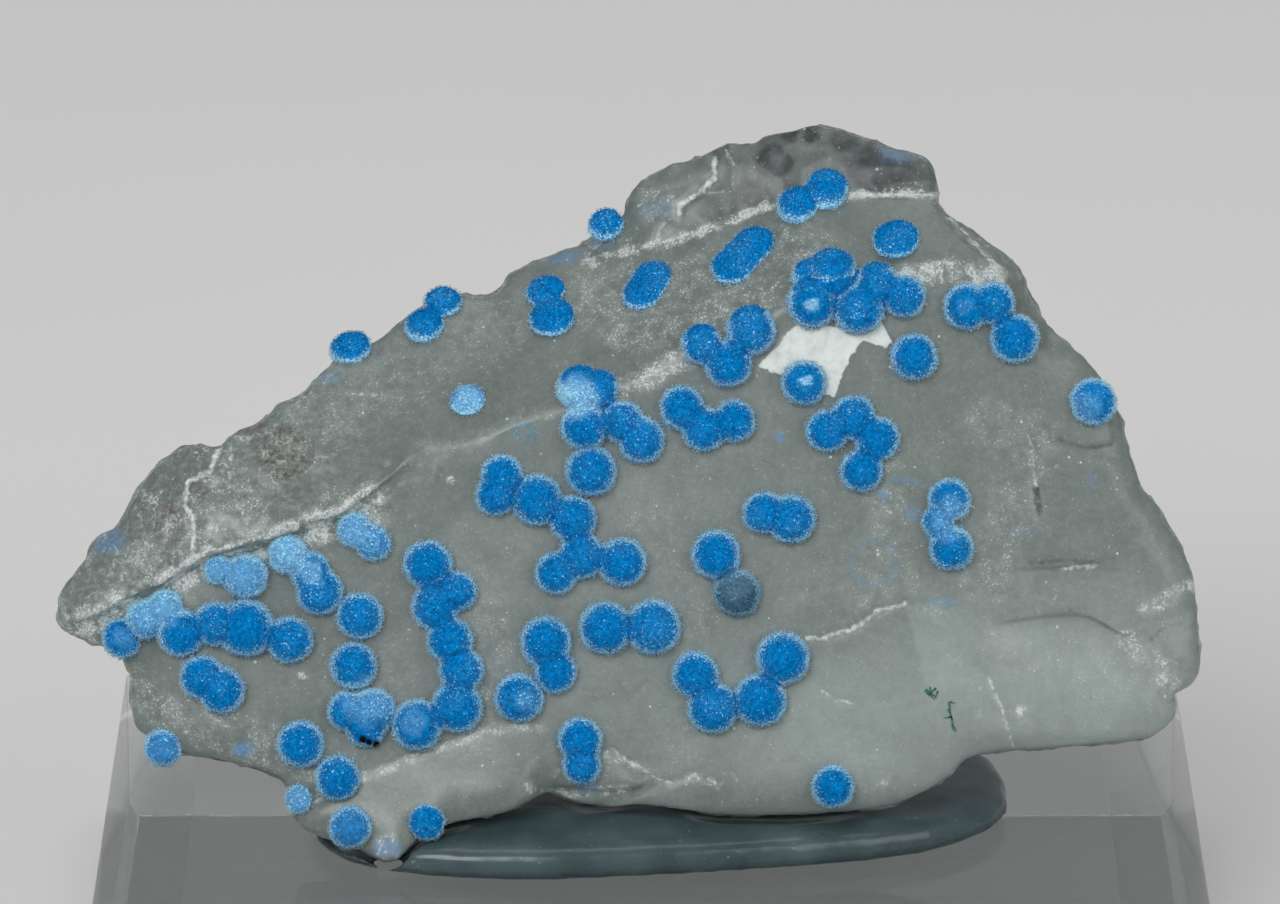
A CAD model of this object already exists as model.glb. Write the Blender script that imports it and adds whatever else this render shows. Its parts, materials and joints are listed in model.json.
"""The looks of a shattuckite specimen: blue velvety balls on quartz, in putty on an acrylic block.

Lengths are in metres unless a name or comment says millimetres. Places on the plate are written
as they are seen from straight in front of it, in drawing units: x to the right from 0 to 1280, y
down from 0 to 904, DRAWING_UNIT metres to a unit.
"""

import json
import math
from functools import partial
from itertools import product

import bpy
import numpy as np
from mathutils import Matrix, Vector
from mathutils.bvhtree import BVHTree

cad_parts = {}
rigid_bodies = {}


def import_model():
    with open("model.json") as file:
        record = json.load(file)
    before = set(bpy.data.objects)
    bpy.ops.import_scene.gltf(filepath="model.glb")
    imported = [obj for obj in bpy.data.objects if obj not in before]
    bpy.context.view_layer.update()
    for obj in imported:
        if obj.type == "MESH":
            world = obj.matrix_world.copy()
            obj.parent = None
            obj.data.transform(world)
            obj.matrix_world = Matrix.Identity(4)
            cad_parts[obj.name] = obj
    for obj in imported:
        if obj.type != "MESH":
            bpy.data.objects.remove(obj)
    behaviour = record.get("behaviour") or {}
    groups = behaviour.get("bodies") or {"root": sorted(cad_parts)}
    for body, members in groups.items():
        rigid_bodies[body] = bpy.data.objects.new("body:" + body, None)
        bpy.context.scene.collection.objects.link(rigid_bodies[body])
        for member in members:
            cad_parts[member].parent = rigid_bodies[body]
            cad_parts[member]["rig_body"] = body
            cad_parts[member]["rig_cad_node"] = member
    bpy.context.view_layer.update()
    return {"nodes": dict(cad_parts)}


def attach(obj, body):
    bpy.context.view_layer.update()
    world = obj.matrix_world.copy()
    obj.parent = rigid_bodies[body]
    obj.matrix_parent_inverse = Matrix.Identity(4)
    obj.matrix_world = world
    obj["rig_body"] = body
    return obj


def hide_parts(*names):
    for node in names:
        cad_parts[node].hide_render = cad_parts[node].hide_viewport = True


bl_info = {
    "name": "Shattuckite Specimen",
    "version": (1, 0, 0),
    "blender": (4, 5, 0),
    "location": "3D View > Sidebar > Specimen",
    "description": "Builds a shattuckite specimen on its stand over the solids of its frame",
    "category": "Object",
}

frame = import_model()
MM = 0.001
# The sums that the materials do, each kept from 0 to 1
TIMES, PLUS, LESS, MOST = (
    {"operation": name, "use_clamp": True} for name in ("MULTIPLY", "ADD", "SUBTRACT", "MAXIMUM")
)

# The view that the drawing units belong to
LEAN = math.radians(20)
VIEW_DISTANCE = 0.55
DRAWING_UNIT = 0.072 / 1152
DRAWING_WIDTH = 1280
MIDDLE = (640, 452)
FACE = np.array((-0.0007, -0.0024, 0.0399))
OUTWARD = np.array((0, -math.cos(LEAN), math.sin(LEAN)))
UPWARD = np.array((0, math.sin(LEAN), math.cos(LEAN)))
EYE = FACE + VIEW_DISTANCE * OUTWARD

# Lines on the plate
RIDGE = [
    (74, 627), (105, 618), (130, 602), (166, 588), (203, 562), (246, 553), (303, 531), (342, 519),
    (370, 500), (420, 456), (481, 440), (546, 413), (600, 398), (649, 376), (702, 345), (751, 331),
    (792, 302), (850, 286), (919, 271), (993, 268),
]
CREST_FOOT = [
    (586, 264), (593, 262), (631, 250), (655, 247), (704, 231), (735, 219), (778, 201), (848, 195),
    (940, 194),
]
CREST_LEFT = [(586, 264), (590, 252), (603, 241), (612, 222)]
LEFT_CREASE = [(300, 808), (364, 777), (413, 760), (485, 731), (515, 726), (542, 728)]
RIGHT_CREASE = [(606, 755), (629, 763), (655, 775), (671, 783), (694, 774), (718, 785)]
SEAM = [(950, 217), (982, 252), (1001, 268), (1007, 291), (1015, 312)]
SHELF = [(549, 794), (604, 790), (626, 789)]
# Bright cracks and veins: the line, half its width, how white it is
VEINS = [
    (SEAM[:3], 2.4, 0.8),
    ([(715, 158), (715, 177), (697, 195), (680, 205), (680, 215)], 2.2, 0.9),
    ([(703, 193), (733, 190), (733, 165), (723, 145)], 1.8, 0.6),
    ([(638, 206), (652, 192), (683, 185)], 1.8, 0.5),
    ([(665, 222), (658, 232), (657, 245)], 1.8, 0.6),
    ([(623, 245), (638, 232), (633, 222)], 1.8, 0.5),
    ([(657, 244), (720, 228), (777, 207)], 1.6, 0.55),
    ([(848, 195), (895, 195), (940, 194)], 1.8, 0.85),
    (CREST_LEFT, 2.0, 0.6),
    ([(222, 443), (210, 470), (188, 483), (185, 507), (193, 517), (193, 560)], 2.6, 0.85),
    ([(232, 445), (230, 480)], 1.8, 0.6),
    ([(217, 470), (232, 473)], 1.6, 0.5),
    ([(178, 513), (172, 528), (167, 540)], 1.8, 0.55),
    ([(177, 547), (190, 567), (163, 587)], 2.2, 0.65),
    ([(180, 552), (205, 562)], 1.6, 0.5),
    ([(137, 505), (126, 528), (122, 552)], 2.0, 0.45),
    ([(60, 618), (78, 622), (98, 616)], 2.4, 0.5),
    ([(150, 470), (168, 462), (186, 448)], 1.6, 0.4),
    ([(262, 412), (284, 400)], 1.8, 0.5),
    ([(295, 393), (352, 394), (405, 397)], 1.8, 0.55),
    ([(807, 638), (822, 639), (852, 629), (866, 620), (877, 610), (905, 604)], 2.2, 0.8),
    ([(766, 593), (813, 592), (856, 578)], 1.6, 0.22),
    ([(1030, 437), (1034, 466), (1036, 486)], 1.5, 0.7),
    ([(1040, 517), (1044, 532)], 1.6, 0.4),
    ([(1036, 474), (1060, 464)], 1.7, 0.5),
    ([(1058, 583), (1051, 611)], 1.8, 0.45),
    ([(1062, 569), (1080, 567), (1095, 566)], 2.4, 0.65),
    ([(1151, 604), (1172, 592), (1192, 585)], 4.5, 0.45),
    ([(988, 677), (1000, 703), (1013, 747)], 1.8, 0.7),
    ([(988, 675), (978, 692), (966, 700), (951, 702)], 1.6, 0.4),
    ([(1118, 432), (1128, 446), (1130, 470)], 2.6, 0.3),
    ([(620, 708), (664, 668)], 1.4, 0.3),
    ([(610, 748), (622, 758), (655, 777), (672, 783)], 1.8, 0.6),
    ([(672, 783), (694, 774), (722, 786)], 1.7, 0.5),
    ([(533, 791), (580, 789), (622, 788)], 1.6, 0.45),
    ([(822, 690), (835, 700), (851, 702)], 1.5, 0.6),
    ([(877, 701), (889, 703)], 1.5, 0.5),
    ([(588, 693), (598, 702)], 1.5, 0.5),
    ([(729, 771), (739, 782)], 1.5, 0.5),
    ([(243, 690), (258, 740)], 1.4, 0.3),
]
# Dark cracks: the line, half its width, how dark it is
DARK_LINES = [
    (SEAM[2:], 2.2, 0.75),
    ([(1036, 489), (1037, 500), (1039, 513)], 3.0, 1.0),
    ([(1030, 563), (1062, 561), (1097, 562)], 2.4, 0.5),
    ([(1060, 439), (1084, 447), (1110, 445)], 1.8, 0.5),
    ([(1010, 618), (1050, 611), (1086, 609), (1125, 635)], 3.5, 0.16),
    ([(960, 594), (1020, 592), (1060, 596)], 3.0, 0.14),
    ([(1150, 640), (1166, 628), (1182, 622)], 5.0, 0.3),
    ([(1196, 606), (1201, 630), (1200, 652)], 4.0, 0.35),
    ([(549, 797), (604, 793), (626, 792)], 2.2, 0.35),
]
# Darker and lighter parts of the quartz: x, y, half-width across, half-width up, how light
TONES = [
    (1040, 700, 190, 115, 1.0), (850, 730, 170, 110, 0.85), (620, 670, 210, 100, 0.56),
    (700, 520, 190, 70, 0.3),
    (440, 800, 130, 50, 0.0), (1160, 620, 60, 90, 0.4), (650, 180, 60, 40, 0.3),
    (250, 500, 150, 80, 0.0),
    (840, 235, 120, 40, 0.08),
]
BASE_TONE = 0.17
# The x where the left layer has run out
LAYER_END = 430
# Frosted stripes of fine white crystals: the line, half its width, how dense they are
FROSTS = [
    (RIDGE[:9], 17, 0.8),
    (RIDGE[9:14], 18, 0.18),
    ([(60, 612), (75, 640), (100, 636)], 16, 0.5),
    ([(1127, 640), (1160, 665), (1178, 697)], 12, 0.5),
    ([(1146, 610), (1170, 596), (1192, 586)], 9, 0.5),
    ([(612, 392), (650, 377), (700, 350)], 13, 0.62),
    ([(905, 279), (950, 274), (995, 277)], 15, 0.72),
    (CREST_FOOT, 5, 0.8),
    ([(870, 190), (905, 187), (940, 186)], 6, 0.3),
    (CREST_LEFT, 8, 0.35),
    (LEFT_CREASE, 5, 0.55),
    (RIGHT_CREASE, 5, 0.45),
    (SHELF, 6, 0.5),
    ([(530, 788), (560, 770), (606, 757)], 4, 0.3),
    ([(300, 430), (360, 400), (440, 350), (500, 320)], 40, 0.24),
    ([(600, 300), (690, 290), (800, 250)], 40, 0.34),
    ([(620, 330), (690, 320), (770, 290)], 24, 0.4),
    ([(130, 600), (190, 540), (240, 500)], 40, 0.4),
    ([(340, 600), (390, 690), (330, 680)], 34, 0.16),
    ([(480, 590), (500, 660), (470, 740)], 26, 0.26),
    ([(640, 500), (700, 620), (690, 740)], 30, 0.2),
    ([(307, 530), (340, 505), (372, 520)], 20, 0.5),
    ([(990, 420), (1030, 440), (1010, 520), (985, 580)], 30, 0.28),
    ([(905, 560), (925, 600), (940, 610)], 15, 0.25),
    ([(130, 690), (220, 730), (330, 770)], 26, 0.36),
    ([(1120, 640), (1160, 680), (1190, 640)], 40, 0.14),
    ([(1000, 640), (1080, 660), (1120, 690)], 34, 0.2),
    ([(880, 440), (890, 520), (870, 600)], 24, 0.26),
]
# Frosted discs: x, y, half-width, how dense
FROST_SPOTS = [
    (657, 201, 24, 0.35), (387, 846, 16, 0.5), (325, 370, 22, 0.3), (360, 777, 9, 0.9),
    (530, 788, 7, 0.8),
    (737, 712, 5, 0.9), (133, 635, 5, 0.9), (434, 713, 5, 0.9), (386, 755, 6, 0.5),
    (302, 676, 4, 0.9),
    (112, 640, 6, 0.7), (345, 521, 10, 0.6), (309, 541, 9, 0.5), (768, 366, 8, 0.7),
    (451, 480, 4, 1.0), (1020, 710, 7, 0.6), (885, 780, 8, 0.6), (978, 715, 5, 0.6),
    (1193, 586, 8, 0.8),
]
# The thin white chalky crust
CRUST = [
    (760, 366), (772, 352), (786, 335), (804, 320), (838, 327), (860, 335), (882, 321), (891, 340),
    (886, 348), (864, 341), (852, 354), (842, 374), (836, 395), (827, 394), (800, 388), (790, 378),
]
CREST = [
    (586, 264), (600, 225), (621, 213), (631, 184), (671, 158), (710, 147), (754, 140), (814, 121),
    (887, 142), (928, 155), (944, 176), (944, 196), (848, 195), (778, 201), (704, 231), (655, 247),
    (631, 250),
]
# Clear windows in the crest: x, y, half-width, how clear
WINDOWS = [
    (774, 163, 17, 1.0), (812, 132, 10, 0.8), (788, 134, 8, 0.8), (845, 140, 14, 0.7),
    (866, 164, 20, 0.9),
    (888, 174, 18, 0.9), (750, 205, 24, 0.6), (705, 208, 20, 0.35), (718, 148, 9, 0.7),
    (905, 178, 18, 0.5),
]
# Blue stains seen on or through the quartz: x, y, half-width across, half-width up, how strong
STAINS = [
    (108, 541, 17, 14, 0.5), (387, 848, 16, 10, 0.6), (243, 749, 11, 7, 0.85),
    (560, 255, 22, 10, 0.4), (898, 153, 20, 12, 0.3),
    (781, 437, 5, 6, 0.7), (590, 789, 13, 5, 0.55), (325, 376, 18, 9, 0.3), (905, 481, 17, 4, 0.35),
    (883, 495, 6, 6, 0.5), (913, 515, 9, 6, 0.4), (660, 208, 22, 8, 0.25), (1090, 480, 8, 10, 0.2),
    (940, 603, 18, 5, 0.3), (1025, 530, 10, 4, 0.25), (600, 243, 12, 8, 0.25),
]
TEAL_SPECKS = [(525, 433, 21, 11, 0.9)]
RUST_SPOTS = [(285, 453, 30, 0.8), (169, 521, 20, 0.6), (200, 493, 12, 0.5), (255, 430, 16, 0.4)]
STAIN_RING = (873, 563, 22)
# A faint edge inside the quartz, lighter on its right, as (y, x)
COOL_EDGE = [(604, 905), (682, 926), (743, 942), (757, 946)]
# Green needles: root and tip
NEEDLES = [
    ((926, 689), (937, 698)), ((927, 693), (935, 699)), ((930, 687), (932, 697)), ((936, 688),
    (928, 696)),
    ((938, 691), (934, 700)), ((925, 691), (931, 694)), ((949, 702), (951, 717)), ((951, 715),
    (955, 733)),
    ((951, 717), (943, 718)), ((950, 702), (956, 703)), ((952, 718), (953, 731)), ((948, 709),
    (951, 716)),
    ((952, 724), (957, 731)),
]

# How far a ball stands out of the face, as a share of its half-width
LOW = 0.42
FLAT = 0.6
FULL = 0.95
# The balls, one list to a group that has grown together: x, y, half-width, and how far the ball
# stands out where that isn't FULL
BALL_GROUPS = [
    [(606, 226, 17, FLAT)],
    [(827, 191, 21, FLAT), (798, 207, 20, FLAT), (812, 200, 13, FLAT)],
    [(896, 241, 22, LOW)],
    [(754, 246, 21, LOW), (743, 257, 21, LOW), (733, 268, 21, LOW)],
    [(652, 280, 20, LOW), (648, 287, 20, LOW), (643, 294, 20, LOW)],
    [(546, 293, 19, LOW), (552, 319, 22, LOW)],
    [(443, 304, 18, FLAT), (425, 327, 19, FLAT)],
    [(351, 350, 20, FLAT)],
    [(468, 401, 17, LOW)],
    [
        (832, 275, 24), (809, 277, 16), (812, 304, 23), (859, 309, 24),
        (877, 284, 20), (904, 297, 20),
    ],
    [(966, 307, 22), (993, 304, 20), (1014, 339, 23)],
    [(914, 357, 22)],
    [(702, 345, 19), (751, 331, 23), (728, 364, 22)],
    [(804, 383, 21)],
    [(1092, 402, 22)],
    [(682, 408, 21), (704, 429, 21), (734, 421, 20)],
    [(827, 431, 20), (853, 418, 21), (877, 439, 21), (861, 471, 20)],
    [
        (580, 390, 22), (600, 390, 18), (584, 427, 22), (622, 422, 20),
        (641, 440, 22),
    ],
    [(591, 471, 24)],
    [
        (502, 476, 20), (496, 496, 19), (537, 500, 24), (573, 519, 22),
        (582, 556, 22), (556, 573, 20), (622, 562, 23),
    ],
    [(764, 513, 20), (791, 519, 23)],
    [(949, 500, 20), (937, 522, 15), (951, 548, 21)],
    [(716, 555, 23), (737, 593, 22)],
    [(606, 628, 25), (653, 627, 26)],
    [(546, 642, 24), (556, 672, 20)],
    [(519, 698, 23)],
    [(783, 658, 25), (760, 700, 25), (713, 708, 24), (695, 675, 22)],
    [(833, 786, 20)],
    [(580, 740, 21), (582, 765, 18)],
    [(355, 530, 17), (373, 543, 17)],
    [(288, 554, 19), (311, 572, 19), (320, 592, 22)],
    [(360, 616, 22)],
    [(219, 570, 14), (246, 576, 21)],
    [
        (123, 637, 19), (147, 619, 19), (166, 607, 17), (182, 633, 22),
        (216, 624, 21), (246, 628, 27), (290, 640, 22),
    ],
    [(203, 677, 21), (222, 690, 22)],
    [(354, 666, 22)],
    [(348, 711, 19), (373, 711, 22), (366, 727, 19)],
    [
        (428, 565, 23), (457, 592, 19), (435, 607, 22), (450, 640, 22),
        (461, 670, 21), (457, 707, 24), (417, 725, 24),
    ],
    [(164, 747, 18)],
    [(301, 744, 22)],
    [(338, 778, 21)],
    [(299, 799, 14, FLAT)],
    [(351, 827, 20)],
    [(427, 822, 17, FLAT)],
]
# A ball's foot goes this far into the plate, and its widest part lies this far above it
BALL_FULLER = 1.06
BALL_SUNK = 0.45
BALL_LIFT = 0.10

# Balls with a pale bloom: x, y, half-width, how pale
BLOOMS = [
    (812, 304, 8, 0.9), (806, 379, 7, 0.9), (576, 397, 22, 0.75), (468, 401, 18, 0.7),
    (355, 530, 19, 0.55),
    (373, 543, 17, 0.3), (288, 554, 22, 0.7), (311, 572, 14, 0.5), (219, 570, 16, 0.55),
    (246, 576, 22, 0.5),
    (147, 614, 22, 0.55), (166, 603, 20, 0.65), (123, 637, 12, 0.2), (299, 799, 15, 0.5),
    (366, 700, 26, 0.35), (413, 722, 14, 0.25), (966, 307, 10, 0.15), (1088, 408, 16, 0.25),
    (950, 520, 24, 0.35), (737, 584, 17, 0.3), (164, 747, 20, 0.2), (526, 700, 12, 0.2),
    (351, 827, 18, 0.12),
]
# Dark marks on the balls: x, y, half-width, how strong
DULL_BALL = [(737, 595, 25, 0.85)]
BLACK_SPECKS = [(363, 739, 4.5, 1.0), (376, 744, 4, 1.0), (369, 742, 3.5, 1.0)]

# Unevenness, in layers of a height and a width in millimetres and a seed
FACE_RELIEF = ((0.022, 3.1, 1), (0.012, 0.9, 2))
LAYER_RELIEF = ((0.15, 1.6, 3), (0.06, 0.6, 4))
LEDGE_RELIEF = ((0.07, 0.55, 5),)
BACK_RELIEF = ((1.0, 5.5, 8), (0.4, 2.2, 9))
EDGE_RELIEF = ((0.42, 1.9, 10), (0.22, 0.8, 11))
BALL_RELIEF = ((0.04, 0.9, 30), (0.045, 0.36, 31))
PAD_RELIEF = ((0.05, 3.5, 40), (0.015, 0.9, 41))
# Other sizes in millimetres
BACK_DEPTH = 0.6
CREST_DEPTH = 0.2
CREST_FINE_DEPTH = 0.08
VEIN_DEPTH = 0.06
CRUST_HEIGHT = 0.045
PAD_VOXEL = 0.3
BLOCK_BEVEL = 0.14
# What faces the front less than this, as a cosine, is made plainer
SEEN_LIMIT = -0.35
# The needles of a ball: how much they lean, and their least length and paleness, as shares
NEEDLE_LEAN = 0.5
LEAST_LENGTH = 0.45
LEAST_PALENESS = 0.35
# The green needles: half-width, and how far root and tip lie above the quartz, in millimetres
GREEN_NEEDLE = (0.075, 0.03, 0.12)
# The lamps: name, place, size and power
LAMPS = [
    ("key_light", (-0.32, -0.72, 0.62), 0.5, 6.0),
    ("fill_light", (0.55, -0.6, 0.4), 0.6, 2.6),
    ("top_light", (0.05, 0.25, 0.8), 0.6, 1.6),
]
WORLD_COLOUR = "#e6e8ea"
WORLD_STRENGTH = 0.36


def colour(code):
    """The linear colour of an sRGB hex code."""
    parts = [int(code[i : i + 2], 16) / 255 for i in (1, 3, 5)]
    linear = [p / 12.92 if p <= 0.04045 else ((p + 0.055) / 1.055) ** 2.4 for p in parts]
    return (*linear, 1.0)


def ease(share):
    """A smooth step from 0 to 1."""
    share = np.clip(share, 0, 1)
    return share * share * (3 - 2 * share)


def lattice(cells, seed):
    """An even spread of numbers from 0 to 1, one to each whole-number cell."""
    c = cells.astype(np.int64)
    mixed = (c[:, 0] * 73856093) ^ (c[:, 1] * 19349663) ^ (c[:, 2] * 83492791) ^ (seed * 7919)
    mixed = ((mixed ^ (mixed >> 13)) * 1274126177) & 0xFFFFFFFF
    return ((mixed ^ (mixed >> 16)) & 0xFFFF) / 65535


def grain(points, size, seed=0):
    """Smooth unevenness from -1 to 1, with bumps about as wide as size, at each point."""
    scaled = points / size
    low = np.floor(scaled)
    share = scaled - low
    share = share * share * (3 - 2 * share)
    total = np.zeros(len(points))
    for corner in product((0, 1), repeat=3):
        weight = np.prod(np.where(np.array(corner) == 1, share, 1 - share), axis=1)
        total += weight * lattice(low + np.array(corner), seed)
    return 2 * total - 1


def seen_at(points):
    """Where points in space are seen, in drawing units."""
    away = points - EYE
    on_face = EYE + away * (VIEW_DISTANCE / (away @ -OUTWARD))[:, None]
    across = (on_face - FACE)[:, 0] / DRAWING_UNIT
    up = (on_face - FACE) @ UPWARD / DRAWING_UNIT
    return np.column_stack((MIDDLE[0] + across, MIDDLE[1] - up))


def place(x, y):
    """The point on the plane of the main face that is seen at x, y."""
    across = (x - MIDDLE[0]) * DRAWING_UNIT * np.array((1, 0, 0))
    return FACE + across + (MIDDLE[1] - y) * DRAWING_UNIT * UPWARD


def relief(points, layers, bend=lambda bumps: bumps):
    """Unevenness in millimetres at each point, summed over its layers."""
    return sum(height * bend(grain(points, width * MM, seed)) for height, width, seed in layers)


def line_distance(spots, line):
    """How far each spot is from a line, in drawing units."""
    nearest = np.full(len(spots), np.inf)
    for start, end in zip(line, line[1:]):
        a = np.array(start, float)
        side = np.array(end, float) - a
        share = np.clip((spots - a) @ side / (side @ side), 0, 1)
        nearest = np.minimum(nearest, np.linalg.norm(spots - a - share[:, None] * side, axis=1))
    return nearest


def line_y(line, x):
    """The y of a left-to-right line at each x."""
    return np.interp(x, [p[0] for p in line], [p[1] for p in line])


def inside(spots, ring):
    """Whether each spot lies in a closed ring of points."""
    result = np.zeros(len(spots), bool)
    for (ax, ay), (bx, by) in zip(ring, ring[1:] + ring[:1]):
        crosses = (ay > spots[:, 1]) != (by > spots[:, 1])
        with np.errstate(divide="ignore", invalid="ignore"):
            left = spots[:, 0] < ax + (bx - ax) * (spots[:, 1] - ay) / (by - ay)
        result ^= crosses & left
    return result


def strokes(spots, lines):
    """How strongly each spot is marked by the strongest of some lines."""
    return np.max([
        strength * ease(1.5 - line_distance(spots, line) / half_width)
        for line, half_width, strength in lines
    ], axis=0)


def nearness(spots, lines):
    """How near each spot is to the strongest of some lines, falling off evenly past its width."""
    near = []
    for line, half_width, strength in lines:
        beyond = np.maximum(line_distance(spots, line) - 0.5 * half_width, 0)
        near.append((0.45 + 0.55 * strength) * np.clip(1 - beyond / 7, 0, 1))
    return np.max(near, axis=0)


def ring_depth(spots, ring):
    """How far inside a closed ring each spot is, and how far outside as a negative number."""
    distance = line_distance(spots, ring + ring[:1])
    return np.where(inside(spots, ring), distance, -distance)


def discs(spots, rounds):
    """How strongly each spot is marked by the strongest of some soft discs."""
    marked = []
    for x, y, *widths, strength in rounds:
        reach = np.hypot((spots[:, 0] - x) / widths[0], (spots[:, 1] - y) / widths[-1])
        marked.append(strength * ease(1.5 * (1.25 - reach)))
    return np.max(marked, axis=0)


def tree_of(node):
    """A frame solid, ready to be looked up by rays."""
    mesh = frame["nodes"][node].data
    corners = [vertex.co for vertex in mesh.vertices]
    return BVHTree.FromPolygons(corners, [face.vertices for face in mesh.polygons])


def front_at(tree, x, y):
    """The point of a solid that is seen at x, y, or None."""
    eye = Vector(EYE)
    hit, _, _, _ = tree.ray_cast(eye, (Vector(place(x, y)) - eye).normalized())
    return None if hit is None else np.array(hit)


def seat_of(tree, x, y, reach):
    """The point of a solid that is seen at x, y, and which way it faces there."""
    middle = front_at(tree, x, y)
    if middle is None:
        middle = place(x, y)
    around = []
    for step in ((-reach, 0), (reach, 0), (0, reach), (0, -reach)):
        found = front_at(tree, x + step[0], y + step[1])
        if found is None:
            opposite = front_at(tree, x - step[0], y - step[1])
            found = middle if opposite is None else 2 * middle - opposite
        around.append(found)
    out = np.cross(around[1] - around[0], around[3] - around[2])
    return middle, out / np.linalg.norm(out)


def deselect():
    """Selects no object."""
    bpy.ops.object.select_all(action="DESELECT")


def pick(piece):
    """Adds an object to those selected and makes it the active one."""
    piece.select_set(True)
    bpy.context.view_layer.objects.active = piece


def make_active(piece):
    """Selects one object alone."""
    deselect()
    pick(piece)


# Steps of edit_mesh
EVERYTHING, NOTHING = (
    (bpy.ops.mesh.select_all, {"action": action}) for action in ("SELECT", "DESELECT")
)


def edit_mesh(*steps):
    """Runs mesh operators in edit mode, each given with its settings."""
    bpy.ops.object.mode_set(mode="EDIT")
    for step, settings in steps:
        step(**settings)
    bpy.ops.object.mode_set(mode="OBJECT")


def twin_of(piece):
    """A copy of an object with its own mesh."""
    twin = piece.copy()
    twin.data = piece.data.copy()
    bpy.context.scene.collection.objects.link(twin)
    return twin


def give_name(piece, name):
    """Names an object and its mesh."""
    piece.name = name
    piece.data.name = name


def copy_of(node, name):
    """A copy of a frame solid with its loose triangles joined up."""
    piece = twin_of(frame["nodes"][node])
    give_name(piece, name)
    piece.parent = None
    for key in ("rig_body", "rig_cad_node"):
        if key in piece:
            del piece[key]
    make_active(piece)
    edit_mesh(
        EVERYTHING,
        (bpy.ops.mesh.remove_doubles, {"threshold": 1e-6}),
        (bpy.ops.mesh.customdata_custom_splitnormals_clear, {}),
    )
    return piece


def corners_of(piece, field="co"):
    """The places of a mesh's corners, or the ways that they face if the field is "normal"."""
    flat = np.empty(len(piece.data.vertices) * 3)
    piece.data.vertices.foreach_get(field, flat)
    return flat.reshape(-1, 3)


def move_corners(piece, corners):
    """Puts a mesh's corners in new places."""
    piece.data.vertices.foreach_set("co", corners.ravel())
    piece.data.update()


def paint(piece, name, values):
    """Stores one number at each corner of a mesh, for its material to read."""
    layer = piece.data.attributes.get(name) or piece.data.attributes.new(name, "FLOAT", "POINT")
    layer.data.foreach_set("value", values.astype(np.float32))


def apply_modifier(piece, kind, settings):
    """Adds a modifier with its settings and applies it."""
    make_active(piece)
    modifier = piece.modifiers.new(kind.lower(), kind)
    for key, value in settings.items():
        setattr(modifier, key, value)
    bpy.ops.object.modifier_apply(modifier=modifier.name)


def remesh(piece, step, passes):
    """Gives a piece one closed skin with faces about a step wide, and smooths it."""
    voxels = {"mode": "VOXEL", "voxel_size": step, "use_smooth_shade": True}
    apply_modifier(piece, "REMESH", voxels)
    apply_modifier(piece, "SMOOTH", {"factor": 0.5, "iterations": passes})


def finish_piece(piece, surface):
    """Gives a piece its material, its slot if the record has one, and fixes it in place."""
    piece.data.materials.clear()
    piece.data.materials.append(surface)
    make_active(piece)
    bpy.ops.object.shade_smooth()
    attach(piece, "root")


def fill_inputs(tree, node, inputs):
    """Fills a node's inputs, in order or by name, each with a value or another node's output."""
    for key, value in inputs.items() if isinstance(inputs, dict) else enumerate(inputs):
        if isinstance(value, bpy.types.NodeSocket):
            tree.links.new(value, node.inputs[key])
        elif value is not None:
            node.inputs[key].default_value = value


def add_node(tree, kind, inputs=(), output=0, **fields):
    """Adds a node with its fields and inputs, and gives back one of its outputs."""
    node = tree.nodes.new("ShaderNode" + kind)
    for key, value in fields.items():
        setattr(node, key, value)
    fill_inputs(tree, node, inputs)
    return node.outputs[output]


def new_material(name, patterns, marks=""):
    """A node material, what adds nodes to it, its Object coordinates, its noise patterns, each from
    a width in millimetres, detail and roughness, and the marks painted on the mesh for it."""
    made = bpy.data.materials.new(name)
    made.use_nodes = True
    add = partial(add_node, made.node_tree)
    where = add("TexCoord", output="Object")
    noises = [
        add("TexNoise", (where, None, 1 / (width * MM), detail, rough))
        for width, detail, rough in patterns
    ]
    painted = [add("Attribute", (), "Fac", attribute_name=mark) for mark in marks.split()]
    return made, add, where, noises, painted


def lay_over(add, body, layers):
    """Lays colours over a body, one after the other, each as strongly as its share says."""
    for share, top in layers:
        top = colour(top) if isinstance(top, str) else top
        body = add("Mix", {0: share, 6: body, 7: top}, 2, data_type="RGBA")
    return body


def finish_material(made, inputs, inside=None):
    """Fills the shader's inputs, and says what dims the light inside the piece."""
    tree = made.node_tree
    fill_inputs(tree, tree.nodes["Principled BSDF"], inputs)
    fill_inputs(tree, tree.nodes["Material Output"], {"Volume": inside})
    return made


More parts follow.
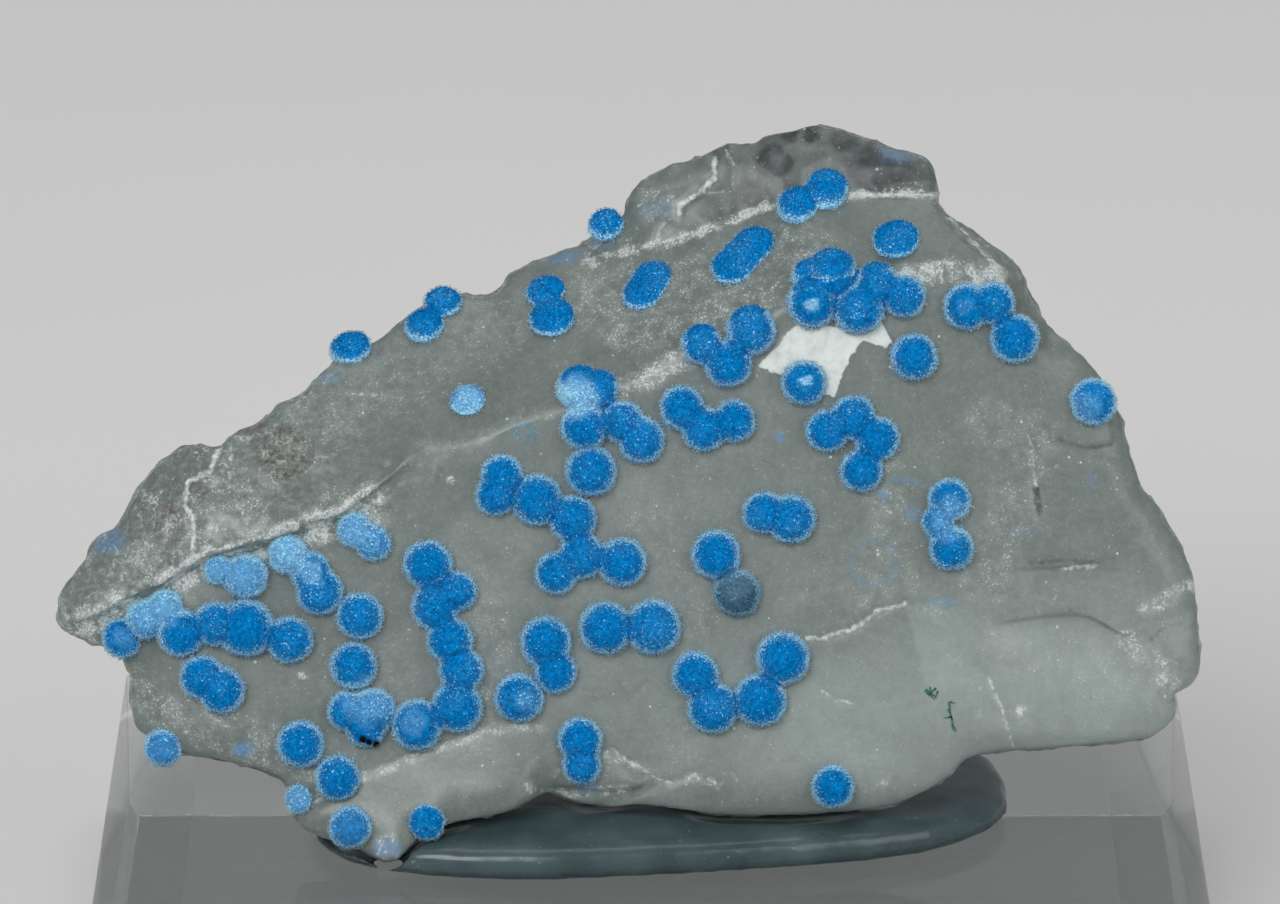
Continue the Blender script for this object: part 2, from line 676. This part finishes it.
def milky_quartz():
    """Natural quartz, broken and partly frosted: a grey cloudy body that lets some light through, a
    clearer crest, white cracks and frosting, sparkling grains and a few coloured specks."""
    patterns = (
        (4.5, 2, 0.6), (0.36, 3, 0.7), (0.3, 1, 0.5), (0.4, 2, 0.6), (0.13, 2, 0.7),
        (0.9, 3, 0.65), (2.6, 3, 0.6),
    )
    marks = "tone layer clear stain teal rust dark frost vein crust"
    made, add, where, noises, painted = new_material("milky_quartz", patterns, marks)
    clouds, mottle, dots, rag, grains, patches, hair = noises
    tone, layer, clear, stain, teal, rust, dark, frost, vein, crust = painted
    # cloudy patches some millimetres wide, and a fine mottle
    cloudy = add("MapRange", (clouds, 0.38, 0.7, 0, 0.3))
    strong = add("MapRange", (layer, 0, 1, 0.35, 1))
    pale, deep = (
        add("Math", (add("MapRange", (mottle, *stretch)), strong), **TIMES)
        for stretch in ((0.47, 0.72, 0, 0.4), (0.5, 0.32, 0, 0.3))
    )
    # the clear crest: fractured parts three millimetres wide, some darker and clearer than others
    cells = add("TexVoronoi", (where, None, 1 / (3 * MM)), "Color")
    uneven = add("MapRange", (add("SeparateColor", (cells,)), 0.2, 0.9, 0.75, 1.2))
    clear = add("Math", (clear, uneven), **TIMES)
    # stains and specks of other minerals
    stain, teal, rust = (
        add("Math", (mark, add("MapRange", (dots, *stretch))), **TIMES)
        for mark, stretch in (
            (stain, (0.3, 0.6, 0.4, 1)), (teal, (0.52, 0.58)), (rust, (0.48, 0.56, 0.12, 0.95)),
        )
    )
    rag = add("MapRange", (rag, 0.25, 0.75, -0.2, 0.2))
    dark = add("MapRange", (add("Math", (dark, rag), **PLUS), 0.56, 0.95, 0, 0.8))
    # frost: small white grains that crowd together where the frosting is dense
    density = add("MapRange", (patches, 0.34, 0.62, 0.2, 1.6))
    density = add("Math", (frost, density), **TIMES)
    level = add("MapRange", (density, 0, 1, 0.68, 0.4))
    frost = add("Math", (grains, level), **LESS)
    frost = add("MapRange", (frost, 0, 0.1, 0, 0.72))
    white = add("Math", (frost, add("Math", (density, 0.3), **TIMES)), **MOST)
    # hairline scratches and healed cracks, thin curved lines that come and go
    lines = add("MapRange", (hair, 0.48, 0.5))
    for stretch in (
        (hair, 0.5, 0.52, 1, 0), (patches, 0.42, 0.6, 0, 0.6), (layer, 0.1, 1, 0.05, 1),
    ):
        lines = add("Math", (lines, add("MapRange", stretch)), **TIMES)
    # small bright flecks, 0.1 to 0.2 mm across, where the surface is lightly frosted
    cells = add("TexVoronoi", (where, None, 1 / (0.75 * MM)), "Color")
    reach = add("MapRange", (add("SeparateColor", (cells,)), 0.45, 1, 0, 0.16))
    fleck = add("Math", (reach, cells.node.outputs["Distance"]), **LESS)
    fleck = add("MapRange", (fleck, 0, 0.04, 0, 0.75))
    fleck = add("Math", (fleck, add("MapRange", (patches, 0.4, 0.56))), **TIMES)
    vein = add("MapRange", (add("Math", (vein, rag), **PLUS), 0.66, 1, 0, 0.85))
    for mark in (lines, fleck, vein):
        white = add("Math", (white, mark), **MOST)
    crust = add("Math", (crust, add("Math", (rag, 0.5), **TIMES)), **PLUS)
    crust = add("MapRange", (crust, 0.47, 0.53))
    worn = add("MapRange", (patches, 0.4, 0.7, 0, 0.7))
    chalk = lay_over(add, colour("#cdd2cd"), ((worn, "#aab2ad"),))
    settings = bpy.context.scene.specimen
    layers = (
        (tone, tuple(settings.quartz_light)), (cloudy, "#59625e"), (pale, "#b0b9b4"),
        (deep, "#565e5a"), (clear, "#262e30"), (stain, "#4f97cf"), (teal, "#2f7d9c"),
        (rust, "#50352d"), (dark, "#262a29"), (white, "#d2d8d5"), (crust, chalk),
    )
    # frost and crust let no light through and are rougher than bare quartz
    solid = add("Math", (white, crust), **MOST)
    through = add("MapRange", (clear, 0, 1, 0.32, 0.3))
    through = add("Math", (through, add("Math", (1, solid), **LESS)), **TIMES)
    rough = add("MapRange", (clear, 0, 0.4, 0.34, 0.42))
    rough_frost = add("MapRange", (solid, 0, 1, 0, 0.8))
    relief = [
        add("Math", (height, much), **TIMES) for height, much in ((grains, 0.4), (mottle, 0.5))
    ]
    relief = add("Math", relief, **PLUS)
    inputs = {
        "Base Color": lay_over(add, tuple(settings.quartz_dark), layers),
        "Transmission Weight": through,
        "Roughness": add("Math", (rough, rough_frost), **MOST),
        "IOR": 1.544,
        "Specular IOR Level": 0.4,
        "Normal": add("Bump", {"Strength": 0.4, "Distance": 0.05 * MM, "Height": relief}),
    }
    dim = add("VolumeAbsorption", {"Color": colour("#98a29e"), "Density": 140})
    return finish_material(made, inputs, dim)


def shattuckite_velvet():
    """Shattuckite grown as balls of fine radiating needles: a deep blue velvet whose needle ends
    whiten towards the foot of each ball and stand out as pale specks."""
    # the shades of blue, the needle ends, which are about 0.06 mm wide and drawn twice as coarse so
    # that they show, and the frosting, which differs from ball to ball
    patterns = ((0.28, 3, 0.7), (0.15, 2, 0.75), (2.2, 1, 0.5))
    marks = "foot bloom tip under dull black"
    made, add, _, noises, painted = new_material("shattuckite_velvet", patterns, marks)
    shades, ends, spread = noises
    foot, bloom, tip, under, dull, black = painted
    spread = add("MapRange", (spread, 0.44, 0.7, 0.02, 0.24))
    share = add("Math", (spread, add("MapRange", (foot, 0, 1, 0, 0.88))), **MOST)
    share = add("Math", (share, add("Math", (bloom, 0.6), **TIMES)), **PLUS)
    level = add("MapRange", (share, 0, 1, 0.66, 0.4))
    pale = add("Math", (ends, level), **LESS)
    pale = add("MapRange", (pale, 0, 0.07, 0, 0.9))
    haze = [add("Math", (mark, much), **TIMES) for mark, much in ((share, 0.1), (bloom, 0.4))]
    pale = add("Math", (pale, add("Math", haze, **PLUS)), **MOST)
    settings = bpy.context.scene.specimen
    layers = (
        (add("MapRange", (shades, 0.36, 0.62)), tuple(settings.ball_blue)), (dull, "#33536a"),
        (pale, tuple(settings.ball_pale)), (tip, "#d4effb"), (under, "#06406e"),
        (add("Math", (dull, 0.6), **TIMES), "#4b6472"), (black, "#10140f"),
    )
    return finish_material(made, {
        "Base Color": lay_over(add, colour("#0066a6"), layers),
        "Roughness": 0.95,
        "Specular IOR Level": 0.02,
        "Normal": add("Bump", {"Strength": 1, "Distance": 0.09 * MM, "Height": ends}),
    })


def mounting_putty():
    """Soft mounting putty, pressed smooth by hand: translucent grey-green with a faint gloss."""
    patterns = ((4, 3, 0.5), (0.25, 1, 0.5), (2.2, 2, 0.5))
    made, add, _, (clouds, dust, waves), _ = new_material("mounting_putty", patterns)
    layers = (
        (add("MapRange", (clouds, 0.3, 0.7)), "#5f7377"),
        (add("MapRange", (dust, 0.73, 0.78, 0, 0.45)), "#b9c4c2"),
    )
    inputs = {
        "Base Color": lay_over(add, colour("#45585b"), layers),
        "Transmission Weight": 0.45,
        "Roughness": 0.22,
        "IOR": 1.42,
        "Normal": add("Bump", {"Strength": 0.35, "Distance": 0.2 * MM, "Height": waves}),
    }
    dim = add("VolumeAbsorption", {"Color": colour("#90a6a6"), "Density": 260})
    return finish_material(made, inputs, dim)


def polished_acrylic():
    """Cast acrylic sheet, cut, bevelled and polished clear, with the faintest ripple and dust."""
    patterns = ((0.35, 1, 0.5), (12, 1, 0.4))
    made, add, _, (dust, ripple), _ = new_material("polished_acrylic", patterns)
    dust = add("MapRange", (dust, 0.7, 0.76))
    inputs = {
        "Base Color": lay_over(add, colour("#f7fafa"), ((dust, "#c9cdcd"),)),
        "Roughness": add("MapRange", (dust, 0, 1, 0.02, 0.2)),
        "Transmission Weight": 1,
        "IOR": 1.49,
        "Alpha": 0.7,
        "Normal": add("Bump", {"Strength": 0.05, "Distance": 0.3 * MM, "Height": ripple}),
    }
    dim = add("VolumeAbsorption", {"Color": colour("#dfe9e8"), "Density": 6})
    return finish_material(made, inputs, dim)


def green_mineral():
    """Dark green mineral needles, grown free, with a glassy skin."""
    made, add, _, (shades,), _ = new_material("green_mineral", ((0.3, 1, 0.5),))
    layers = ((add("MapRange", (shades, 0.35, 0.65)), "#0e7a4c"),)
    body = lay_over(add, colour("#06402a"), layers)
    return finish_material(made, {"Base Color": body, "Roughness": 0.35})


def studio_floor():
    """A matt pale studio floor, painted evenly."""
    made, add, _, (clouds,), _ = new_material("studio_floor", ((90, 2, 0.5),))
    body = lay_over(add, colour("#d6d6d4"), ((clouds, "#dcdcda"),))
    return finish_material(made, {"Base Color": body, "Roughness": 0.85})


def colour_choice(name, description, code):
    """A colour that a user may change."""
    return bpy.props.FloatVectorProperty(
        name=name, description=description, subtype="COLOR", size=4, min=0, max=1,
        default=colour(code),
    )


def length_choice(name, description, low, high, usual):
    """A length that a user may change, in millimetres here and in metres in Blender."""
    return bpy.props.FloatProperty(
        name=name, description=description, subtype="DISTANCE", unit="LENGTH", min=low * MM,
        max=high * MM, default=usual * MM,
    )


class SpecimenSettings(bpy.types.PropertyGroup):
    """The sizes and colours that a user would change."""

    quartz_dark: colour_choice("Dark quartz", "Colour of the darkest quartz", "#646f6a")
    quartz_light: colour_choice("Light quartz", "Colour of the lightest quartz", "#a5b1ad")
    ball_blue: colour_choice("Ball blue", "Colour of needles that stand close", "#0084ca")
    ball_pale: colour_choice("Ball frost", "Colour of the pale needle ends", "#b0e7fb")
    fuzz_length: length_choice("Needle length", "How far needles stand out", 0, 0.5, 0.2)
    fuzz_width: length_choice("Needle width", "Width of a needle's root", 0, 0.1, 0.06)
    ball_step: length_choice("Ball mesh step", "Size of a ball's faces", 0.05, 0.5, 0.13)


class SPECIMEN_OT_quartz_plate(bpy.types.Operator):
    """Adds the quartz plate, with its cracks, frosting and clear crest"""

    bl_idname = "specimen.quartz_plate"
    bl_label = "Quartz Plate"

    def execute(self, context):
        piece = copy_of("quartz_plate", "natural_quartz_plate")
        finer = (bpy.ops.mesh.subdivide, {"number_cuts": 2})
        edit_mesh(EVERYTHING, finer, NOTHING)
        outward = Vector(OUTWARD)
        for face in piece.data.polygons:
            face.select = face.normal.dot(outward) > SEEN_LIMIT
        edit_mesh(finer, EVERYTHING, (bpy.ops.mesh.quads_convert_to_tris, {}))
        # the front and the back are smoothed and the broken sides stay sharp
        facing = corners_of(piece, "normal") @ OUTWARD
        piece.data.vertices.foreach_set("select", np.abs(facing) > 0.45)
        edit_mesh(
            (bpy.ops.mesh.select_mode, {"type": "VERT"}),
            (bpy.ops.mesh.vertices_smooth, {"factor": 0.5, "repeat": 7}),
        )
        self.soften_ledge(piece)
        self.shape(piece)
        self.mark(piece)
        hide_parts("quartz_plate")
        finish_piece(piece, milky_quartz())
        return {"FINISHED"}

    def soften_ledge(self, piece):
        """Rounds the step at the foot of the left layer, where it is frosted over."""
        spots = seen_at(corners_of(piece))
        near = line_distance(spots, RIDGE[:14]) < 11
        front = corners_of(piece, "normal") @ OUTWARD > 0
        piece.data.vertices.foreach_set("select", near & front)
        edit_mesh((bpy.ops.mesh.vertices_smooth, {"factor": 0.5, "repeat": 12}))

    def shape(self, piece):
        """Roughens the plate, sinks its cracks, lifts its crust and breaks up its back."""
        corners = corners_of(piece)
        normals = corners_of(piece, "normal")
        facing = normals @ OUTWARD
        front = ease((facing - 0.2) / 0.4)
        behind = ease((-facing - 0.1) / 0.4)
        spots = seen_at(corners)
        x, y = spots.T
        layer = (line_y(RIDGE, x) - y > 0) * ease((LAYER_END - x) / 120)
        crest = inside(spots, CREST).astype(float)
        ledge = ease(1.4 - line_distance(spots, RIDGE[:10]) / 24)
        wider = [(line, width + 2, strength) for line, width, strength in VEINS + DARK_LINES]
        veins = strokes(spots, wider)
        crust = inside(spots, CRUST).astype(float)
        height = front * (
            relief(corners, FACE_RELIEF)
            + layer * relief(corners, LAYER_RELIEF)
            + ledge * relief(corners, LEDGE_RELIEF)
            + crest * CREST_DEPTH * (0.3 - np.abs(grain(corners, 2.1 * MM, 6)))
            - crest * CREST_FINE_DEPTH * np.abs(grain(corners, 0.9 * MM, 12))
            - VEIN_DEPTH * veins
            + CRUST_HEIGHT * crust * (1 + 0.3 * grain(corners, 0.4 * MM, 7))
        )
        height -= behind * BACK_DEPTH * relief(corners, BACK_RELIEF, np.abs)
        side = (1 - front) * (1 - behind)
        height -= side * relief(corners, EDGE_RELIEF, np.abs)
        move_corners(piece, corners + normals * (height * MM)[:, None])

    def mark(self, piece):
        """Paints where the quartz is frosted, cracked, clear, stained or crusted."""
        corners = corners_of(piece)
        spots = seen_at(corners)
        facing = corners_of(piece, "normal") @ OUTWARD
        front = ease((facing - 0.05) / 0.3)
        wander = np.column_stack((grain(corners, 0.6 * MM, 20), grain(corners, 0.6 * MM, 21)))
        loose = spots + 2.0 * wander
        frost = np.maximum(strokes(loose, FROSTS), discs(loose, FROST_SPOTS))
        x, y = spots.T
        left = ease((LAYER_END - x) / 200) * (line_y(RIDGE, x) > y)
        frost = np.maximum(frost, 0.14 * left)
        paint(piece, "layer", np.where(facing < 0, 0.5, left))
        edge = ease((0.72 - facing) / 0.5) * (facing > 0)
        frost = np.maximum(frost, 0.5 * edge)
        rear = 0.45 + 0.35 * grain(corners, 4.0 * MM, 25)
        frost = np.where(facing < 0, rear, np.maximum(frost, 0.11))
        paint(piece, "frost", frost)
        paint(piece, "vein", front * nearness(spots + 1.2 * wander, VEINS))
        paint(piece, "dark", front * nearness(spots + 1.2 * wander, DARK_LINES))
        crust = np.clip(0.5 + ring_depth(spots + 1.5 * wander, CRUST) / 24, 0, 1)
        paint(piece, "crust", front * crust)
        crest = inside(spots, CREST)
        windows = discs(spots + 5 * wander, WINDOWS)
        clear = 0.14 + 0.34 * ease((x - 690) / 60) + 0.15 * grain(corners, 1.4 * MM, 23)
        clear = crest * (clear + 0.9 * windows)
        upper = ease((line_y(RIDGE, x) - y) / 15) * ease((x - 250) / 250)
        paint(piece, "clear", front * np.clip(np.maximum(clear, 0.12 * upper), 0, 1))
        stain = discs(loose, STAINS)
        ring_x, ring_y, radius = STAIN_RING
        ring = 0.3 * ease(1.4 - np.abs(np.hypot(x - ring_x, y - ring_y) - radius) / 4)
        stain = np.maximum(stain, ring * (0.6 + 0.4 * grain(corners, 1.0 * MM, 24)))
        paint(piece, "stain", front * stain)
        paint(piece, "teal", front * discs(loose, TEAL_SPECKS))
        paint(piece, "rust", front * discs(loose, RUST_SPOTS))
        tone = np.full(len(corners), BASE_TONE)
        for tone_x, tone_y, across, up, light in TONES:
            reach = np.hypot((x - tone_x) / across, (y - tone_y) / up)
            tone += (light - BASE_TONE) * np.exp(-1.6 * reach * reach) * (1 - tone)
        past = x - np.interp(y, *zip(*COOL_EDGE))
        low = ease((y - 600) / 10) * ease((760 - y) / 120)
        step = 0.16 * ease((past + 3) / 6) * ease((90 - past) / 80) - 0.1 * ease((3 - past) / 6)
        tone += low * step
        paint(piece, "tone", np.clip(tone, 0, 1))


class SPECIMEN_OT_velvet_balls(bpy.types.Operator):
    """Adds the groups of shattuckite balls, each with its coat of fine needles"""

    bl_idname = "specimen.velvet_balls"
    bl_label = "Shattuckite Balls"

    def execute(self, context):
        settings = context.scene.specimen
        velvet = shattuckite_velvet()
        chance = np.random.default_rng(7)
        tree = tree_of("quartz_plate")
        deselect()
        bpy.ops.mesh.primitive_ico_sphere_add(subdivisions=4, radius=1, location=(0, 0, 0))
        sphere = bpy.context.object
        for number, group in enumerate(BALL_GROUPS, 1):
            deselect()
            for ball in group:
                self.add_ball(sphere, tree, *ball)
            piece = bpy.context.view_layer.objects.active
            bpy.ops.object.join()
            give_name(piece, f"velvet_balls_{number:02d}")
            remesh(piece, settings.ball_step, 3)
            self.roughen(piece)
            self.add_needles(piece, settings, chance)
            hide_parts(f"shattuckite_balls_{number:02d}")
            finish_piece(piece, velvet)
        bpy.data.objects.remove(sphere)
        return {"FINISHED"}

    def add_ball(self, sphere, tree, x, y, half_width, rise=FULL):
        """Sets a copy of the round on the plate, with its foot cut flat inside the plate."""
        ball = twin_of(sphere)
        middle, out = seat_of(tree, x, y, 0.8 * half_width)
        side = np.cross(out, (0.0, 0.0, 1.0))
        side /= np.linalg.norm(side)
        radius = half_width * DRAWING_UNIT * BALL_FULLER
        local = corners_of(ball)
        depth = np.maximum(BALL_LIFT + rise * local[:, 2], -BALL_SUNK)
        spread = np.column_stack((local[:, 0], local[:, 1], depth)) * radius
        move_corners(ball, middle + spread @ np.array((side, np.cross(out, side), out)))
        pick(ball)

    def roughen(self, piece):
        """Makes the balls' surface uneven, as close-standing needle bundles leave it."""
        corners = corners_of(piece)
        normals = corners_of(piece, "normal")
        lumps = relief(corners, BALL_RELIEF)
        move_corners(piece, corners + normals * (lumps * MM)[:, None])
        self.mark(piece, corners, normals, np.zeros(len(corners)))

    def mark(self, piece, corners, normals, tips):
        """Paints the pale foot, the shaded underside, the blooms and the odd balls."""
        spots = seen_at(corners)
        x, y = spots.T
        upper = (line_y(RIDGE, x) - y > 10) & (x > 330)
        tilt = np.radians(np.where(upper, 42, 0))
        seat = np.cos(tilt)[:, None] * OUTWARD + np.sin(tilt)[:, None] * UPWARD
        facing = np.einsum("ij,ij->i", normals, seat)
        paint(piece, "foot", ease((0.9 - facing) / 0.56))
        low = -(normals @ UPWARD)
        under = 0.6 * ease((low - 0.7) / 0.3) * ease((0.5 - facing) / 0.4)
        paint(piece, "under", under * (1 - 0.8 * tips))
        bloom = discs(spots + 4 * grain(corners, 0.5 * MM, 32)[:, None], BLOOMS)
        paint(piece, "bloom", bloom)
        paint(piece, "dull", discs(spots, DULL_BALL))
        paint(piece, "black", discs(spots, BLACK_SPECKS))
        paint(piece, "tip", tips * np.clip(0.01 + ease((0.72 - facing) / 0.35) + 0.8 * bloom, 0, 1))

    def add_needles(self, piece, settings, chance):
        """Covers a ball with short needles, each a slim three-sided spike that leans a little."""
        corners = corners_of(piece)
        normals = corners_of(piece, "normal")
        keep = np.flatnonzero(normals @ OUTWARD > SEEN_LIMIT)
        roots = corners[keep]
        ways = normals[keep] + NEEDLE_LEAN * chance.normal(size=(len(keep), 3))
        ways /= np.linalg.norm(ways, axis=1)[:, None]
        roots = roots + 0.4 * settings.ball_step * chance.normal(size=roots.shape)
        lengths = settings.fuzz_length * chance.uniform(LEAST_LENGTH, 1.0, len(keep))
        side = np.cross(ways, chance.normal(size=ways.shape))
        side /= np.linalg.norm(side, axis=1)[:, None]
        other = np.cross(ways, side)
        count = len(keep)
        half = settings.fuzz_width / 2
        # four corners to a needle: three at its root and its tip
        spikes = np.empty((count, 4, 3))
        for index in range(3):
            turn = 2 * math.pi * index / 3
            spikes[:, index] = roots + half * (math.cos(turn) * side + math.sin(turn) * other)
        spikes[:, 3] = roots + ways * lengths[:, None]
        faces = [
            (start + a, start + b, start + c)
            for start in range(0, 4 * count, 4)
            for a, b, c in ((0, 1, 3), (1, 2, 3), (2, 0, 3), (2, 1, 0))
        ]
        mesh = bpy.data.meshes.new("needles")
        mesh.from_pydata(spikes.reshape(-1, 3).tolist(), [], faces)
        needles = bpy.data.objects.new("needles", mesh)
        bpy.context.scene.collection.objects.link(needles)
        tips = np.repeat(chance.uniform(LEAST_PALENESS, 1.0, count), 4)
        tips *= np.tile((0.5, 0.5, 0.5, 1.0), count)
        self.mark(needles, np.repeat(roots, 4, axis=0), np.repeat(normals[keep], 4, axis=0), tips)
        make_active(needles)
        pick(piece)
        bpy.ops.object.join()


class SPECIMEN_OT_green_needles(bpy.types.Operator):
    """Adds the few dark green needles that lie on the quartz"""

    bl_idname = "specimen.green_needles"
    bl_label = "Green Needles"

    def execute(self, context):
        tree = tree_of("quartz_plate")
        deselect()
        bpy.ops.mesh.primitive_cone_add(vertices=6, radius1=0.8, radius2=0.15, depth=1)
        cone = context.object
        half_width, root_above, tip_above = (MM * length for length in GREEN_NEEDLE)
        for root, tip in NEEDLES:
            needle = twin_of(cone)
            start = front_at(tree, *root) + root_above * OUTWARD
            along = front_at(tree, *tip) + tip_above * OUTWARD - start
            across = np.cross(along, OUTWARD)
            across /= np.linalg.norm(across)
            out = np.cross(across, along)
            out /= np.linalg.norm(out)
            local = corners_of(needle) * (half_width, half_width, 1) + (0, 0, 0.5)
            move_corners(needle, start + local @ np.array((across, out, along)))
            pick(needle)
        bpy.data.objects.remove(cone)
        bpy.ops.object.join()
        piece = context.view_layer.objects.active
        give_name(piece, "green_needles")
        finish_piece(piece, green_mineral())
        return {"FINISHED"}


class SPECIMEN_OT_putty_pad(bpy.types.Operator):
    """Adds the putty pad that holds the plate's foot"""

    bl_idname = "specimen.putty_pad"
    bl_label = "Putty Pad"

    def execute(self, context):
        piece = copy_of("putty_pad", "soft_putty_pad")
        remesh(piece, PAD_VOXEL * MM, 8)
        corners = corners_of(piece)
        normals = corners_of(piece, "normal")
        waves = relief(corners, PAD_RELIEF) * ease((normals[:, 2] + 0.5) / 0.5)
        move_corners(piece, corners + normals * (waves * MM)[:, None])
        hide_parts("putty_pad")
        finish_piece(piece, mounting_putty())
        return {"FINISHED"}


class SPECIMEN_OT_acrylic_block(bpy.types.Operator):
    """Adds the clear block with its edges polished round"""

    bl_idname = "specimen.acrylic_block"
    bl_label = "Acrylic Block"

    def execute(self, context):
        piece = copy_of("acrylic_block", "polished_acrylic_block")
        flatten = (bpy.ops.mesh.dissolve_limited, {"angle_limit": math.radians(1)})
        edit_mesh(EVERYTHING, flatten)
        bevel = {"width": BLOCK_BEVEL * MM, "segments": 3, "limit_method": "ANGLE"}
        apply_modifier(piece, "BEVEL", {**bevel, "angle_limit": math.radians(20)})
        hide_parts("acrylic_block")
        finish_piece(piece, polished_acrylic())
        bpy.ops.object.shade_smooth_by_angle(angle=math.radians(20))
        return {"FINISHED"}


class SPECIMEN_OT_stage(bpy.types.Operator):
    """Adds the floor, the soft lights and the camera"""

    bl_idname = "specimen.stage"
    bl_label = "Studio"

    def execute(self, context):
        deselect()
        bpy.ops.mesh.primitive_plane_add(size=4.0, location=(0, 0, 0))
        floor = context.object
        floor.name = "studio_floor"
        floor.data.materials.append(studio_floor())
        for name, position, size, power in LAMPS:
            bpy.ops.object.light_add(type="AREA", location=position)
            lamp = context.object
            lamp.name = name
            lamp.data.size = size
            lamp.data.energy = power
            towards = Vector(FACE) - Vector(position)
            lamp.rotation_euler = towards.to_track_quat("-Z", "Y").to_euler()
        world = bpy.data.worlds.new("studio_world")
        world.use_nodes = True
        light = {"Color": colour(WORLD_COLOUR), "Strength": WORLD_STRENGTH}
        fill_inputs(world.node_tree, world.node_tree.nodes["Background"], light)
        context.scene.world = world
        bpy.ops.object.camera_add(location=EYE)
        camera = context.object
        camera.name = "photo_camera"
        camera.rotation_euler = Vector(-OUTWARD).to_track_quat("-Z", "Y").to_euler()
        camera.data.sensor_width = 36
        camera.data.lens = 36 * VIEW_DISTANCE / (DRAWING_WIDTH * DRAWING_UNIT)
        camera.data.clip_start = 0.01
        context.scene.camera = camera
        context.scene.view_settings.view_transform = "Standard"
        return {"FINISHED"}


class SPECIMEN_PT_panel(bpy.types.Panel):
    """The specimen's settings and pieces"""

    bl_label = "Shattuckite Specimen"
    bl_idname = "SPECIMEN_PT_panel"
    bl_space_type = "VIEW_3D"
    bl_region_type = "UI"
    bl_category = "Specimen"

    def draw(self, context):
        for name in SpecimenSettings.__annotations__:
            self.layout.prop(context.scene.specimen, name)
        for operator in OPERATORS:
            self.layout.operator(operator.bl_idname)


OPERATORS = [
    SPECIMEN_OT_quartz_plate,
    SPECIMEN_OT_velvet_balls,
    SPECIMEN_OT_green_needles,
    SPECIMEN_OT_putty_pad,
    SPECIMEN_OT_acrylic_block,
    SPECIMEN_OT_stage,
]


def register():
    """Makes the settings, operators and panel known to Blender."""
    for part in (SpecimenSettings, *OPERATORS, SPECIMEN_PT_panel):
        bpy.utils.register_class(part)
    bpy.types.Scene.specimen = bpy.props.PointerProperty(type=SpecimenSettings)


def unregister():
    """Takes them away again."""
    del bpy.types.Scene.specimen
    for part in (SPECIMEN_PT_panel, *reversed(OPERATORS), SpecimenSettings):
        bpy.utils.unregister_class(part)


def main():
    """Builds the whole specimen and notes its size before and after."""
    register()
    bpy.ops.specimen.quartz_plate()
    bpy.ops.specimen.velvet_balls()
    bpy.ops.specimen.green_needles()
    bpy.ops.specimen.putty_pad()
    bpy.ops.specimen.acrylic_block()
    bpy.ops.specimen.stage()


if __name__ == "__main__":
    main()
